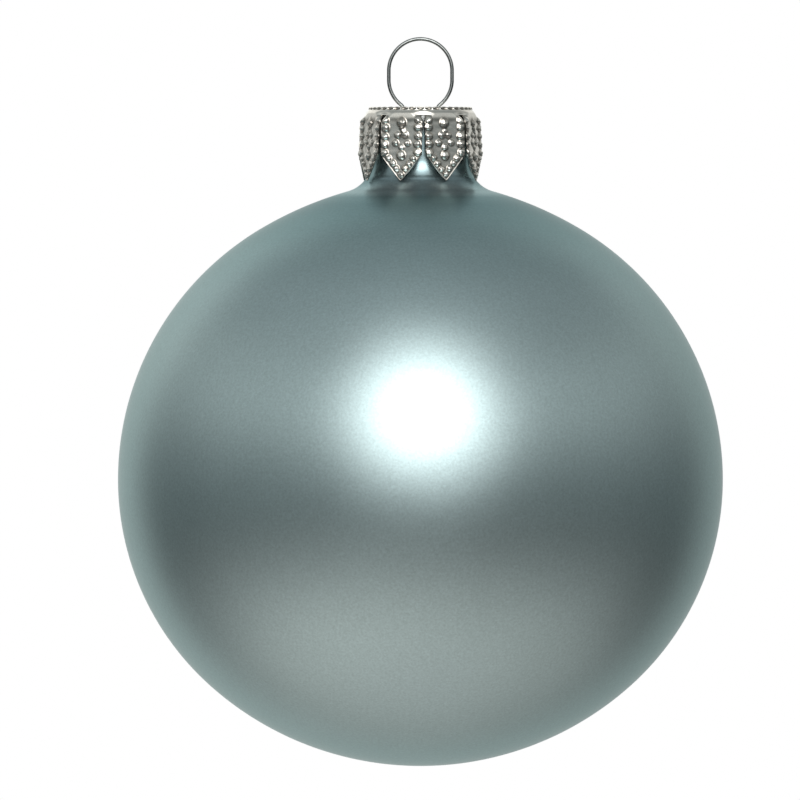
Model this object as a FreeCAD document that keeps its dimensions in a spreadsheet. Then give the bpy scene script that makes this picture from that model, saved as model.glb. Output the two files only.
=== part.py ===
"""Hanging glass ball: a blown glass ball with a neck, a stamped crown cap and a sprung wire hanger.

Millimetres, +Z up. The origin is the hang point: the inner top of the wire loop.
The loop lies in the XZ plane. The cap sits with one slit facing -Y, but for a small turn.
"""

import FreeCAD, Part
import math
import os
import Sketcher

# The driving dimensions: alias, value, meaning. Heights are Z of the named place.
SIZES = (
    ("ball_radius", 40.0, "half of the ball's width"),
    ("equator_height", -58.0, "widest place of the ball"),
    ("bottom_height", -95.9, "lowest place of the ball"),
    ("lower_side_radius", 36.6, "profile arc under the equator"),
    ("upper_side_radius", 38.55, "profile arc over the equator"),
    ("shoulder_radius", 48.6, "flatter profile arc up to the neck"),
    ("flare_radius", 4.3, "hollow arc between shoulder and neck"),
    ("flare_height", -15.75, "centre of the hollow arc"),
    ("neck_radius", 6.45, "outside of the glass neck"),
    ("lip_height", -9.45, "top of the glass neck"),
    ("glass_wall", 0.7, "thickness of the glass"),
    ("rim_height", -8.75, "top of the cap's milled rim"),
    ("rim_radius", 6.8, "outside of the rim"),
    ("rim_width", 0.35, "ring left around the sunk top"),
    ("disc_height", -9.15, "upper face of the sunk top"),
    ("sheet", 0.25, "thickness of the cap's sheet"),
    ("bevel_height", -9.1, "where the bevel leaves the rim"),
    ("skirt_height", -9.6, "where the bevel meets the middle of a petal"),
    ("skirt_apothem", 7.28, "petal face to axis at the skirt's top"),
    ("tip_height", -18.55, "points of the petals"),
    ("tip_apothem", 7.85, "petal face to axis at the points"),
    ("shoulder_height", -15.14, "where the petals start to narrow"),
    ("notch_top", -9.8, "top of the notch over each slit"),
    ("notch_bottom", -10.8, "bottom of the notch over each slit"),
    ("notch_half_width", 0.5, "notch at its top"),
    ("slit_half_width", 0.04, "slit under the notch, on the inner face"),
    ("slit_half_width_low", 0.2, "slit at the petals' shoulders, on the inner face"),
    ("knurl_radius", 0.24, "scallop of the milled edge"),
    ("knurl_count", 40, "scallops around the rim"),
    ("petal_count", 8, "petals around the cap"),
    ("cap_turn", 3.0, "degrees that the cap sits turned on the neck"),
    ("hole_radius", 0.45, "holes for the wire"),
    ("wire_radius", 0.25, "hanger wire"),
    ("loop_radius", 4.18, "centre line of the loop"),
    ("loop_straight", 1.23, "straight sides of the loop"),
    ("loop_wrap", 52.0, "degrees of the loop's lower arcs"),
    ("crook_radius", 0.9, "reverse bend over the cap"),
    ("crook_straight", 0.74, "straight piece through the cap"),
    ("splay_radius", 1.2, "outward bend of a leg"),
    ("splay_angle", 32.0, "degrees that a leg turns outwards"),
    ("splay_length", 3.98, "straight of a leg, going outwards"),
    ("knee_radius", 2.5, "inward bend of a leg"),
    ("leg_angle", 12.0, "degrees that a leg leans back inwards"),
    ("leg_length", 7.6, "straight end of a leg"),
)
CLEAR = 0.5  # how far a cutter starts or ends outside the metal or glass
FEATHER = 0.02  # how far neighbouring cutters overlap
SWEEP_TOLERANCE = 0.002  # share by which the wire's volume may leave section times length


def make_sheet(doc):
    """Put every driving dimension in the spreadsheet, with its alias and meaning."""
    sheet = doc.addObject("Spreadsheet::Sheet", "Sizes")
    for row, (alias, value, meaning) in enumerate(SIZES, start=1):
        sheet.set(f"A{row}", meaning)
        sheet.set(f"B{row}", str(value))
        sheet.setAlias(f"B{row}", alias)
    doc.recompute()
    return sheet


def origin_plane(body, role):
    """Find one of a body's own origin planes, such as XZ_Plane."""
    for feature in body.Origin.OriginFeatures:
        if feature.Role == role:
            return feature
    raise ValueError(role)


def add_sketch(body, name, role, turn=None):
    """Add a sketch on an origin plane, turned in that plane's own frame if asked."""
    sketch = body.newObject("Sketcher::SketchObject", name)
    sketch.AttachmentSupport = (origin_plane(body, role), [""])
    sketch.MapMode = "FlatFace"
    if turn:
        sketch.AttachmentOffset = turn
    return sketch


def bind(sketch, kind, *where, to):
    """Add a dimension to a sketch and bind it to an expression."""
    value = sketch.evalExpression(to)
    value = float(getattr(value, "Value", value))
    if kind == "Angle":
        value = math.radians(value)
    index = sketch.addConstraint(Sketcher.Constraint(kind, *where, value))
    if kind == "Angle":
        to = f"({to}) * 1 deg"
    sketch.setExpression(f"Constraints[{index}]", to)


def place(sketch, geometry, end, across, up):
    """Bind a point of a sketch to two expressions, measured from the sketch's origin."""
    bind(sketch, "DistanceX", -1, 1, geometry, end, to=across)
    bind(sketch, "DistanceY", -1, 1, geometry, end, to=up)


def polygon(sketch, corners):
    """Draw a closed polygon whose corners are pairs of expressions."""
    points = []
    for across, up in corners:
        points.append(FreeCAD.Vector(sketch.evalExpression(across), sketch.evalExpression(up), 0))
    first = sketch.GeometryCount
    count = len(points)
    for number in range(count):
        sketch.addGeometry(Part.LineSegment(points[number], points[(number + 1) % count]), False)
    for number, (across, up) in enumerate(corners):
        following = first + (number + 1) % count
        sketch.addConstraint(Sketcher.Constraint("Coincident", first + number, 2, following, 1))
        place(sketch, first + number, 1, across, up)


def level_sketch(body, name, height):
    """Add a level sketch whose height is an expression."""
    sketch = add_sketch(body, name, "XY_Plane")
    sketch.setExpression("AttachmentOffset.Base.z", height)
    body.Document.recompute()
    return sketch


def revolve(body, kind, name, sketch):
    """Turn a sketch on the XZ plane fully around Z, as a Revolution or a Groove."""
    feature = body.newObject(f"PartDesign::{kind}", name)
    feature.Profile = sketch
    feature.ReferenceAxis = (sketch, ["V_Axis"])
    feature.Angle = 360.0
    return feature


def repeat_around(body, feature, count):
    """Repeat a feature around Z, as many times as an expression says."""
    pattern = body.newObject("PartDesign::PolarPattern", feature.Name + "_all")
    pattern.Originals = [feature]
    pattern.Axis = (origin_plane(body, "Z_Axis"), [""])
    pattern.Angle = 360.0
    pattern.setExpression("Occurrences", count)
    body.Tip = pattern
    return pattern


# --- glass ball ---------------------------------------------------------------------------


def meeting_point(centre_a, reach_a, centre_b, reach_b):
    """Lower left of the two points at given distances from two centres."""
    between = centre_b - centre_a
    gap = between.Length
    along = (reach_a**2 - reach_b**2 + gap**2) / (2 * gap)
    aside = math.sqrt(reach_a**2 - along**2)
    forward = between.normalize()
    sideways = FreeCAD.Vector(-forward.y, forward.x, 0)
    both = (centre_a + forward * along + sideways * side * aside for side in (-1, 1))
    return min(both, key=lambda point: point.x + point.y)


def outline_centres(sizes):
    """Centres of the five tangent arcs of the ball's profile, from the bottom to the neck."""
    lower = sizes.lower_side_radius
    rise = sizes.equator_height - sizes.bottom_height
    offset = sizes.ball_radius - lower
    bottom_radius = (offset**2 + rise**2 - lower**2) / (2 * (rise - lower))
    bottom = FreeCAD.Vector(0, sizes.bottom_height + bottom_radius, 0)
    lower_side = FreeCAD.Vector(offset, sizes.equator_height, 0)
    upper_side = FreeCAD.Vector(sizes.ball_radius - sizes.upper_side_radius, sizes.equator_height, 0)
    flare = FreeCAD.Vector(sizes.neck_radius + sizes.flare_radius, sizes.flare_height, 0)
    shoulder = meeting_point(
        upper_side,
        sizes.shoulder_radius - sizes.upper_side_radius,
        flare,
        sizes.shoulder_radius + sizes.flare_radius,
    )
    return bottom, lower_side, upper_side, shoulder, flare


def arc_between(centre, first, last):
    """Counter-clockwise arc about a centre between the directions of two points."""
    start = math.atan2(first.y - centre.y, first.x - centre.x)
    end = math.atan2(last.y - centre.y, last.x - centre.x)
    circle = Part.Circle(centre, FreeCAD.Vector(0, 0, 1), (first - centre).Length)
    return Part.ArcOfCircle(circle, start, end)


def toward(centre, other, distance):
    """Point at a distance from a centre, in the direction of another point."""
    direction = other - centre
    return centre + direction * (distance / direction.Length)


def ball_outline(sketch, sizes, inset, top):
    """Draw half of the ball's section, set in by one expression and cut level at another."""
    bottom, lower_side, upper_side, shoulder, flare = outline_centres(sizes)
    depth = sketch.evalExpression(inset)
    equator = FreeCAD.Vector(sizes.ball_radius - depth, sizes.equator_height, 0)
    pole = FreeCAD.Vector(0, sizes.bottom_height + depth, 0)
    bottom_join = toward(bottom, lower_side, (pole - bottom).Length)
    shoulder_join = toward(shoulder, upper_side, sizes.shoulder_radius - depth)
    flare_join = toward(shoulder, flare, sizes.shoulder_radius - depth)
    neck_foot = FreeCAD.Vector(sizes.neck_radius - depth, sizes.flare_height, 0)
    neck_top = FreeCAD.Vector(neck_foot.x, sketch.evalExpression(top), 0)
    axis_top = FreeCAD.Vector(0, neck_top.y, 0)
    arcs = (
        arc_between(bottom, pole, bottom_join),
        arc_between(lower_side, bottom_join, equator),
        arc_between(upper_side, equator, shoulder_join),
        arc_between(shoulder, shoulder_join, flare_join),
        arc_between(flare, neck_foot, flare_join),
    )
    lines = (
        Part.LineSegment(neck_foot, neck_top),
        Part.LineSegment(neck_top, axis_top),
        Part.LineSegment(axis_top, pole),
    )
    for geometry in arcs + lines:
        sketch.addGeometry(geometry, False)
    tangents = ((0, 2, 1, 1), (1, 2, 2, 1), (2, 2, 3, 1), (3, 2, 4, 2), (4, 1, 5, 1))
    for joint in tangents:
        sketch.addConstraint(Sketcher.Constraint("Tangent", *joint))
    for joint in ((5, 2, 6, 1), (6, 2, 7, 1), (7, 2, 0, 1)):
        sketch.addConstraint(Sketcher.Constraint("Coincident", *joint))
    for geometry, end in ((0, 3), (0, 1), (6, 2)):
        sketch.addConstraint(Sketcher.Constraint("PointOnObject", geometry, end, -2))
    sketch.addConstraint(Sketcher.Constraint("Horizontal", 6))
    bind(sketch, "DistanceY", -1, 1, 0, 1, to=f"Sizes.bottom_height + {inset}")
    bind(sketch, "DistanceY", -1, 1, 1, 3, to="Sizes.equator_height")
    place(sketch, 1, 2, f"Sizes.ball_radius - {inset}", "Sizes.equator_height")
    bind(sketch, "Radius", 1, to=f"Sizes.lower_side_radius - {inset}")
    bind(sketch, "Radius", 2, to=f"Sizes.upper_side_radius - {inset}")
    bind(sketch, "Radius", 3, to=f"Sizes.shoulder_radius - {inset}")
    bind(sketch, "Radius", 4, to=f"Sizes.flare_radius + {inset}")
    bind(sketch, "DistanceY", -1, 1, 4, 3, to="Sizes.flare_height")
    place(sketch, 5, 2, f"Sizes.neck_radius - {inset}", top)


def make_glass_ball(doc, sizes):
    """Blown ball: a turned outside, a turned hollow of the same outline, and a melted lip."""
    body = doc.addObject("PartDesign::Body", "glass_ball")
    outside = add_sketch(body, "ball_outside", "XZ_Plane")
    ball_outline(outside, sizes, "0", "Sizes.lip_height")
    revolve(body, "Revolution", "ball_blank", outside)
    doc.recompute()
    inside = add_sketch(body, "ball_inside", "XZ_Plane")
    ball_outline(inside, sizes, "Sizes.glass_wall", f"Sizes.lip_height + {CLEAR}")
    hollow = revolve(body, "Groove", "ball_hollow", inside)
    doc.recompute()
    lip = body.newObject("PartDesign::Fillet", "ball_lip")
    lip.Base = (hollow, level_edges(hollow.Shape, sizes.lip_height))
    lip.setExpression("Radius", "Sizes.glass_wall * 0.4")
    return body


def level_edges(shape, height):
    """Names of the edges that lie in a level plane."""
    names = []
    for number, edge in enumerate(shape.Edges, start=1):
        box = edge.BoundBox
        if abs(box.ZMin - height) < FEATHER and abs(box.ZMax - height) < FEATHER:
            names.append(f"Edge{number}")
    return names


# --- crown cap ----------------------------------------------------------------------------

LEAN = "(Sizes.tip_apothem - Sizes.skirt_apothem) / (Sizes.skirt_height - Sizes.tip_height)"
BEVEL_RUN = "(Sizes.skirt_apothem - Sizes.rim_radius)"
BEVEL_DROP = "(Sizes.bevel_height - Sizes.skirt_height)"
HALF_SECTOR = "180 / Sizes.petal_count"


def petal_face(height):
    """Expression for the distance from the axis to a petal's outer face at a height."""
    return f"(Sizes.skirt_apothem + (Sizes.skirt_height - ({height})) * {LEAN})"


def crown_solid(doc, sizes, name, inset, top):
    """Leaning octagonal prism with its upper edge bevelled, set in by an expression."""
    body = doc.addObject("PartDesign::Body", name)
    octagon = level_sketch(body, name + "_octagon", top)
    reach = f"({petal_face(top)} - {inset}) / cos({HALF_SECTOR})"
    corners = []
    for number in range(int(sizes.petal_count)):
        angle = f"Sizes.cap_turn + {number} * 360 / Sizes.petal_count"
        corners.append((f"{reach} * cos({angle})", f"{reach} * sin({angle})"))
    polygon(octagon, corners)
    prism = body.newObject("PartDesign::Pad", name + "_prism")
    prism.Profile = octagon
    prism.Reversed = True
    prism.setExpression("Length", f"{top} - Sizes.tip_height + {inset}")
    prism.setExpression("TaperAngle", f"atan({LEAN})")
    doc.recompute()
    bevel = add_sketch(body, name + "_bevel", "XZ_Plane")
    slope = f"sqrt(1 + ({BEVEL_RUN} / {BEVEL_DROP}) ^ 2)"
    edge = f"Sizes.rim_radius - {inset} * {slope}"
    deep = f"Sizes.skirt_height - 2 * {BEVEL_DROP}"
    wide = f"Sizes.rim_radius + 3 * {BEVEL_RUN}"
    polygon(
        bevel,
        (
            (edge, f"{top} + {CLEAR}"),
            (edge, "Sizes.bevel_height"),
            (f"{wide} - {inset} * {slope}", deep),
            (f"{wide} + {CLEAR}", deep),
            (f"{wide} + {CLEAR}", f"{top} + {CLEAR}"),
        ),
    )
    revolve(body, "Groove", name + "_bevel_cut", bevel)
    doc.recompute()
    return body


def trim_petals(body, sizes):
    """Cut the slits, their notches and the spaces beside the petals' points."""
    upright = FreeCAD.Rotation(FreeCAD.Vector(0, 1, 0), 180 / sizes.petal_count + sizes.cap_turn)
    sketch = add_sketch(body, "petal_sides", "XZ_Plane", FreeCAD.Placement(FreeCAD.Vector(), upright))
    turn = f"({HALF_SECTOR} + Sizes.cap_turn) * 1 deg"
    sketch.setExpression("AttachmentOffset.Rotation.Angle", turn)
    body.Document.recompute()
    below = f"Sizes.tip_height - {CLEAR}"

    def outer_corner(height):
        return f"{petal_face(height)} * tan({HALF_SECTOR}) + {FEATHER}"

    def corner(height):
        return f"({petal_face(height)} - Sizes.sheet) * tan({HALF_SECTOR})"

    side = (
        (outer_corner("Sizes.notch_top"), "Sizes.notch_top"),
        (f"{corner('Sizes.notch_top')} - Sizes.notch_half_width", "Sizes.notch_top"),
        (f"{corner('Sizes.notch_bottom')} - Sizes.slit_half_width", "Sizes.notch_bottom"),
        (f"{corner('Sizes.shoulder_height')} - Sizes.slit_half_width_low", "Sizes.shoulder_height"),
    )
    foot = (outer_corner(below), below)
    left_side = [(f"-({across})", up) for across, up in (foot, *side)]
    polygon(sketch, (foot, *side, ("0", "Sizes.tip_height"), *reversed(left_side)))
    cut = body.newObject("PartDesign::Pocket", "petal_sides_cut")
    cut.Profile = sketch
    cut.Reversed = True
    cut.setExpression("Length", f"{petal_face(below)} + {CLEAR}")
    body.Document.recompute()
    repeat_around(body, cut, "Sizes.petal_count")


def wire_hole_offset():
    """Expression for the distance from the axis to the wire where it passes the cap."""
    return "(Sizes.loop_radius + Sizes.crook_radius) * cos(Sizes.loop_wrap) - Sizes.crook_radius"


def round_pocket(body, name, height, circles, depth):
    """Cut round holes down from a level; circles are triples of expressions: x, y, radius."""
    sketch = level_sketch(body, name, height)
    for number, (across, up, radius) in enumerate(circles):
        centre = FreeCAD.Vector(sketch.evalExpression(across), sketch.evalExpression(up), 0)
        circle = Part.Circle(centre, FreeCAD.Vector(0, 0, 1), sketch.evalExpression(radius))
        sketch.addGeometry(circle, False)
        place(sketch, number, 3, across, up)
        bind(sketch, "Radius", number, to=radius)
    cut = body.newObject("PartDesign::Pocket", name + "_cut")
    cut.Profile = sketch
    cut.setExpression("Length", depth)
    body.Document.recompute()
    return cut


def make_crown_cap(doc, sizes):
    """Stamped cap: sunk top, milled rim, bevel and eight leaning petals of one thin sheet."""
    body = crown_solid(doc, sizes, "crown_cap", "0", "Sizes.rim_height")
    core = crown_solid(doc, sizes, "cap_core", "Sizes.sheet", "Sizes.disc_height - Sizes.sheet")
    hollow = body.newObject("PartDesign::Boolean", "cap_hollow")
    hollow.setObjects([core])
    hollow.Type = "Cut"
    doc.recompute()
    sunk = (("0", "0", "Sizes.rim_radius - Sizes.rim_width"),)
    round_pocket(body, "sunk_top", "Sizes.rim_height", sunk, "Sizes.rim_height - Sizes.disc_height")
    holes = [(f"{sign} * ({wire_hole_offset()})", "0", "Sizes.hole_radius") for sign in (-1, 1)]
    round_pocket(body, "wire_holes", "Sizes.disc_height", holes, f"Sizes.sheet + {CLEAR}")
    scallop = (("Sizes.rim_radius + Sizes.knurl_radius / 3", "0", "Sizes.knurl_radius"),)
    knurl_depth = "Sizes.rim_height - Sizes.bevel_height"
    knurl = round_pocket(body, "knurl", "Sizes.rim_height", scallop, knurl_depth)
    repeat_around(body, knurl, "Sizes.knurl_count")
    doc.recompute()
    trim_petals(body, sizes)
    return body


# --- hanger wire --------------------------------------------------------------------------


def wire_moves():
    """Half of the wire from the loop's top: length, or radius with degrees of turn (left +)."""
    return (
        ("Sizes.loop_radius", "90", -1),
        ("Sizes.loop_straight", None, 0),
        ("Sizes.loop_radius", "Sizes.loop_wrap", -1),
        ("Sizes.crook_radius", "Sizes.loop_wrap", 1),
        ("Sizes.crook_straight", None, 0),
        ("Sizes.splay_radius", "Sizes.splay_angle", 1),
        ("Sizes.splay_length", None, 0),
        ("Sizes.knee_radius", "Sizes.splay_angle + Sizes.leg_angle", -1),
        ("Sizes.leg_length", None, 0),
    )


def draw_wire(sketch):
    """Draw the wire's centre line as tangent arcs and lines, and return its length."""
    upward = FreeCAD.Vector(0, 0, 1)
    point = FreeCAD.Vector(0, sketch.evalExpression("Sizes.wire_radius"), 0)
    heading = 0.0
    length = 0.0
    leaving = None
    for number, (size, turn, side) in enumerate(wire_moves()):
        reach = sketch.evalExpression(size)
        ahead = FreeCAD.Vector(math.cos(heading), math.sin(heading), 0)
        if turn is None:
            following = point + ahead * reach
            sketch.addGeometry(Part.LineSegment(point, following), False)
            bind(sketch, "Distance", number, to=size)
            entering, exit_end = 1, 2
            length += reach
        else:
            angle = math.radians(sketch.evalExpression(turn))
            centre = point + FreeCAD.Vector(-ahead.y, ahead.x, 0) * (side * reach)
            swing = FreeCAD.Rotation(upward, math.degrees(side * angle))
            following = centre + swing.multVec(point - centre)
            ends = (point, following) if side > 0 else (following, point)
            sketch.addGeometry(arc_between(centre, *ends), False)
            bind(sketch, "Radius", number, to=size)
            bind(sketch, "Angle", number, to=turn)
            entering, exit_end = (1, 2) if side > 0 else (2, 1)
            heading += side * angle
            length += reach * angle
        if leaving:
            sketch.addConstraint(Sketcher.Constraint("Tangent", *leaving, number, entering))
        leaving = (number, exit_end)
        point = following
    place(sketch, 0, 2, "0", "Sizes.wire_radius")
    sketch.addConstraint(Sketcher.Constraint("PointOnObject", 0, 3, -2))
    return length


def make_hanger_wire(doc, sizes):
    """One wire: half of it swept along its centre line, then mirrored."""
    body = doc.addObject("PartDesign::Body", "hanger_wire")
    path = add_sketch(body, "wire_path", "XZ_Plane")
    length = draw_wire(path)
    section = add_sketch(body, "wire_section", "YZ_Plane")
    circle = Part.Circle(FreeCAD.Vector(0, sizes.wire_radius, 0), FreeCAD.Vector(0, 0, 1), sizes.wire_radius)
    section.addGeometry(circle, False)
    place(section, 0, 3, "0", "Sizes.wire_radius")
    bind(section, "Radius", 0, to="Sizes.wire_radius")
    doc.recompute()
    half = body.newObject("PartDesign::AdditivePipe", "wire_half")
    half.Profile = section
    half.Spine = (path, [])
    doc.recompute()
    expected = length * math.pi * sizes.wire_radius**2
    if abs(half.Shape.Volume / expected - 1) > SWEEP_TOLERANCE:
        raise ValueError("the wire's volume isn't its section times its length")
    mirror = body.newObject("PartDesign::Mirrored", "wire_both")
    mirror.Originals = [half]
    mirror.MirrorPlane = (origin_plane(body, "YZ_Plane"), [""])
    body.Tip = mirror
    return body


# --- the whole ornament -------------------------------------------------------------------


def check_document(doc):
    """Stop if any object of the document failed to build."""
    doc.recompute()
    for thing in doc.Objects:
        if "Invalid" in thing.State or "Error" in thing.State:
            raise ValueError(f"{thing.Name} did not build")


def write_node(body):
    """Check one sub-part's solid and write it to its file."""
    shape = body.Shape
    if shape.isNull() or not shape.isValid() or len(shape.Solids) != 1:
        raise ValueError(f"{body.Label} is not one valid solid")
    shape.exportStep(f"parts/{body.Label}.step")
    box = shape.BoundBox
    print(f"{body.Label}: {shape.Volume:.1f} mm3, z {box.ZMin:.2f} to {box.ZMax:.2f}")


def main():
    os.makedirs("parts", exist_ok=True)
    doc = FreeCAD.newDocument("glass_ball_ornament")
    sizes = make_sheet(doc)
    nodes = [make(doc, sizes) for make in (make_glass_ball, make_crown_cap, make_hanger_wire)]
    check_document(doc)
    for body in nodes:
        write_node(body)


main()
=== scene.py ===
"""Looks of the hanging glass ball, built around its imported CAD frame.

Lengths in the shape code are millimetres and become metres when a mesh is made. The frame's
origin is the inner top of the wire loop, +Z is up, and the loop lies in the XZ plane.
"""

import math

import bmesh
import bpy
import numpy as np
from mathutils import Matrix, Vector


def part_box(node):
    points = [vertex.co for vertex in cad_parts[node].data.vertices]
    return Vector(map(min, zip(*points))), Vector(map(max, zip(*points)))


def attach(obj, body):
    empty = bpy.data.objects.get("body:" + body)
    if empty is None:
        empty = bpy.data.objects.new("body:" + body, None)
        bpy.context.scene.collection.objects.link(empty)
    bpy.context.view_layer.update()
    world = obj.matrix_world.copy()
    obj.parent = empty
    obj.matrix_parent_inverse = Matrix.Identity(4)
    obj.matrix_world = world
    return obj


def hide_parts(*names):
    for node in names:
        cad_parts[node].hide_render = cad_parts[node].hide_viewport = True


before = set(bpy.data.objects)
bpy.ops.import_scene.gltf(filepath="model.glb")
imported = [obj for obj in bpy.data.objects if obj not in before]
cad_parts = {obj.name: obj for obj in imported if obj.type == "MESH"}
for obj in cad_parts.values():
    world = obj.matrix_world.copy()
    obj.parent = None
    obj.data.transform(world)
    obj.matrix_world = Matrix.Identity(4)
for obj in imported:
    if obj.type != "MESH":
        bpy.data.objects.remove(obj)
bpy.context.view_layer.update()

MM = 0.001

# Places read from the frame, in millimetres.
ball_low, ball_high = (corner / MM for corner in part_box("glass_ball"))
cap_low, cap_high = (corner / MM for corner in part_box("crown_cap"))
wire_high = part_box("hanger_wire")[1] / MM

# Glass: the outline's arcs, from the bottom to the neck.
BALL_RADIUS = ball_high.x
BOTTOM = ball_low.z
LIP = ball_high.z
EQUATOR = -58.0
LOWER_SIDE_RADIUS = 36.6
UPPER_SIDE_RADIUS = 38.55
SHOULDER_RADIUS = 48.6
FLARE_RADIUS = 4.3
FLARE_HEIGHT = -15.75
NECK_RADIUS = 6.45
GLASS_WALL = 0.7
LACQUER_EDGE = -18.15  # the matt lacquer ends here in a faint raised line
LACQUER_EDGE_RISE = 0.035
LACQUER_EDGE_WIDTH = 0.12

# Cap: one sheet with a sunk top, a milled rim, a rounded bevel and eight petals.
RIM_TOP = cap_high.z
TIP = cap_low.z
SHEET = 0.25
PETAL_SHEET = 0.17  # the petals are pressed thinner than the top
SUNK_TOP = -9.15
SUNK_RADIUS = 6.42
FOLD_RADIUS = 0.12  # between the sunk top and the rim
INNER_FACE_TOP = -8.93
CREST_RADIUS = 6.82  # of the crest's outer side
CREST_RISE = 0.07
OUTER_FACE_TOP = -8.855
OUTER_LEAN_START = -8.82
OUTER_FACE_LEAN = 0.24  # outward, for each millimetre down
RIM_FOOT = -9.22
RIM_SCALLOP = 0.08  # the rim's top dips between its dimples
KNURLS = 40
KNURL_DEPTH = 0.24
KNURL_RADIUS = 6.8  # where the dimples' widths are measured
KNURL_MIDDLE = -9.02
KNURL_HALF_WIDTH = 0.47
KNURL_HALF_HEIGHT = 0.165
BEVEL_TOP = -9.24
BEVEL_START = -9.25  # the bevel's first row
BEVEL_RADIUS = 6.92
BEVEL_HEIGHT = 1.6  # at the corners
BEVEL_BULGE = 1.08  # at the corners
CORNER_LEAN = 0.03
BEVEL_SLOPE = 0.80  # over a petal's middle
STEP_RADIUS = 7.20
STEP_SLOPE = 0.19
PETALS = 8
HALF_SECTOR = math.pi / PETALS
CAP_TURN = math.radians(3.0)  # the cap sits turned on the neck by this much
SKIRT_TOP = -9.6
SKIRT_APOTHEM = 7.28
TIP_APOTHEM = 7.85
NOTCH_TOP = -9.85
NOTCH_BOTTOM = -10.75
NOTCH_HALF_WIDTH = 0.52
NOTCH_REACH = 7.3  # about the cap's radius at the notch's top
PINCH_DEPTH = 0.44  # the bevel is pinched in round each notch
PINCH_WIDTH = 1.45
PINCH_START = -9.25
PINCH_FULL = -9.95
PINCH_FADE = -10.2
PINCH_END = -11.2
SLIT_HALF_WIDTH = 0.05
SLIT_HALF_WIDTH_LOW = 0.22
PETAL_SHOULDER = -15.14
SLANT_BOW = 0.93  # under 1 bows the slanted edges outward
TIP_WIDENING = 0.03
LEAST_HALF_WIDTH = 0.01
HOLE_RADIUS = 0.45

# Wire: the loop, the crooks over the cap and the sprung legs.
WIRE_RADIUS = wire_high.z / 2
LOOP_RADIUS = 4.18
LOOP_STRAIGHT = 1.23
LOOP_WRAP = 52.0
CROOK_RADIUS = 0.9
CROOK_STRAIGHT = 0.74
SPLAY_RADIUS = 1.2
SPLAY_ANGLE = 32.0
SPLAY_LENGTH = 3.98
KNEE_RADIUS = 2.5
LEG_ANGLE = 12.0
LEG_LENGTH = 7.6
CUT_ROUNDING = 0.05
LINE_STEP = 0.35  # along the straight runs
TURN_STEP = 2.5  # degrees, round the bends
HOLE_OFFSET = (LOOP_RADIUS + CROOK_RADIUS) * math.cos(math.radians(LOOP_WRAP)) - CROOK_RADIUS


# --- mesh helpers -------------------------------------------------------------------------


def make_piece(name, points, faces, body, node, materials, face_materials=None):
    """Make a smooth-shaded mesh piece from millimetre points, and tie it to its CAD node."""
    mesh = bpy.data.meshes.new(name)
    mesh.from_pydata([Vector(p) * MM for p in points], [], faces)
    mesh.validate()
    for material in materials:
        mesh.materials.append(material)
    if face_materials is not None:
        mesh.polygons.foreach_set("material_index", face_materials)
    mesh.polygons.foreach_set("use_smooth", [True] * len(mesh.polygons))
    mesh.update()
    piece = bpy.data.objects.new(name, mesh)
    bpy.context.scene.collection.objects.link(piece)
    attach(piece, body)
    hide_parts(node)
    return piece


def arc_points(centre, radius, start, end, count):
    """Points of an arc about a centre, from one angle to another, both included."""
    angles = np.linspace(start, end, count)
    return [(centre[0] + radius * math.cos(a), centre[1] + radius * math.sin(a)) for a in angles]


def smooth_step(low, high, value):
    """0 up to low, 1 from high on, and a soft step between. High may be the lesser of the two."""
    t = np.clip((value - low) / (high - low), 0.0, 1.0)
    return t * t * (3 - 2 * t)


# --- glass ball ---------------------------------------------------------------------------


def direction(start, end):
    """Angle of the line from one point to another."""
    return math.atan2(end[1] - start[1], end[0] - start[0])


def outline_centres():
    """Centres of the outline's five tangent arcs, and the radius of the bottom one."""
    offset = BALL_RADIUS - LOWER_SIDE_RADIUS
    rise = EQUATOR - BOTTOM
    bottom_radius = (offset**2 + rise**2 - LOWER_SIDE_RADIUS**2) / (2 * (rise - LOWER_SIDE_RADIUS))
    bottom = (0.0, BOTTOM + bottom_radius)
    lower_side = (offset, EQUATOR)
    upper_side = (BALL_RADIUS - UPPER_SIDE_RADIUS, EQUATOR)
    flare = (NECK_RADIUS + FLARE_RADIUS, FLARE_HEIGHT)
    near, far = SHOULDER_RADIUS - UPPER_SIDE_RADIUS, SHOULDER_RADIUS + FLARE_RADIUS
    gap = math.dist(upper_side, flare)
    along = (near**2 - far**2 + gap**2) / (2 * gap)
    aside = math.sqrt(near**2 - along**2)
    way = direction(upper_side, flare)
    shoulder = (
        upper_side[0] + along * math.cos(way) - aside * math.sin(way),
        upper_side[1] + along * math.sin(way) + aside * math.cos(way),
    )
    return bottom, lower_side, upper_side, shoulder, flare, bottom_radius


def ball_outline(inset):
    """Half outline of the glass, set in by a distance, from the bottom to the neck's top."""
    bottom, lower_side, upper_side, shoulder, flare, bottom_radius = outline_centres()
    low_join = direction(bottom, lower_side)
    shoulder_join = direction(shoulder, upper_side)
    flare_join = direction(shoulder, flare)
    points = arc_points(bottom, bottom_radius - inset, -math.pi / 2, low_join, 40)
    points += arc_points(lower_side, LOWER_SIDE_RADIUS - inset, low_join, 0, 30)[1:]
    points += arc_points(upper_side, UPPER_SIDE_RADIUS - inset, 0, shoulder_join, 48)[1:]
    points += arc_points(shoulder, SHOULDER_RADIUS - inset, shoulder_join, flare_join, 20)[1:]
    points += arc_points(flare, FLARE_RADIUS + inset, flare_join + math.pi, math.pi, 30)[1:]
    neck = NECK_RADIUS - inset
    points += [(neck, height) for height in np.linspace(FLARE_HEIGHT, LIP - GLASS_WALL / 2, 14)[1:]]
    return points


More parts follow.
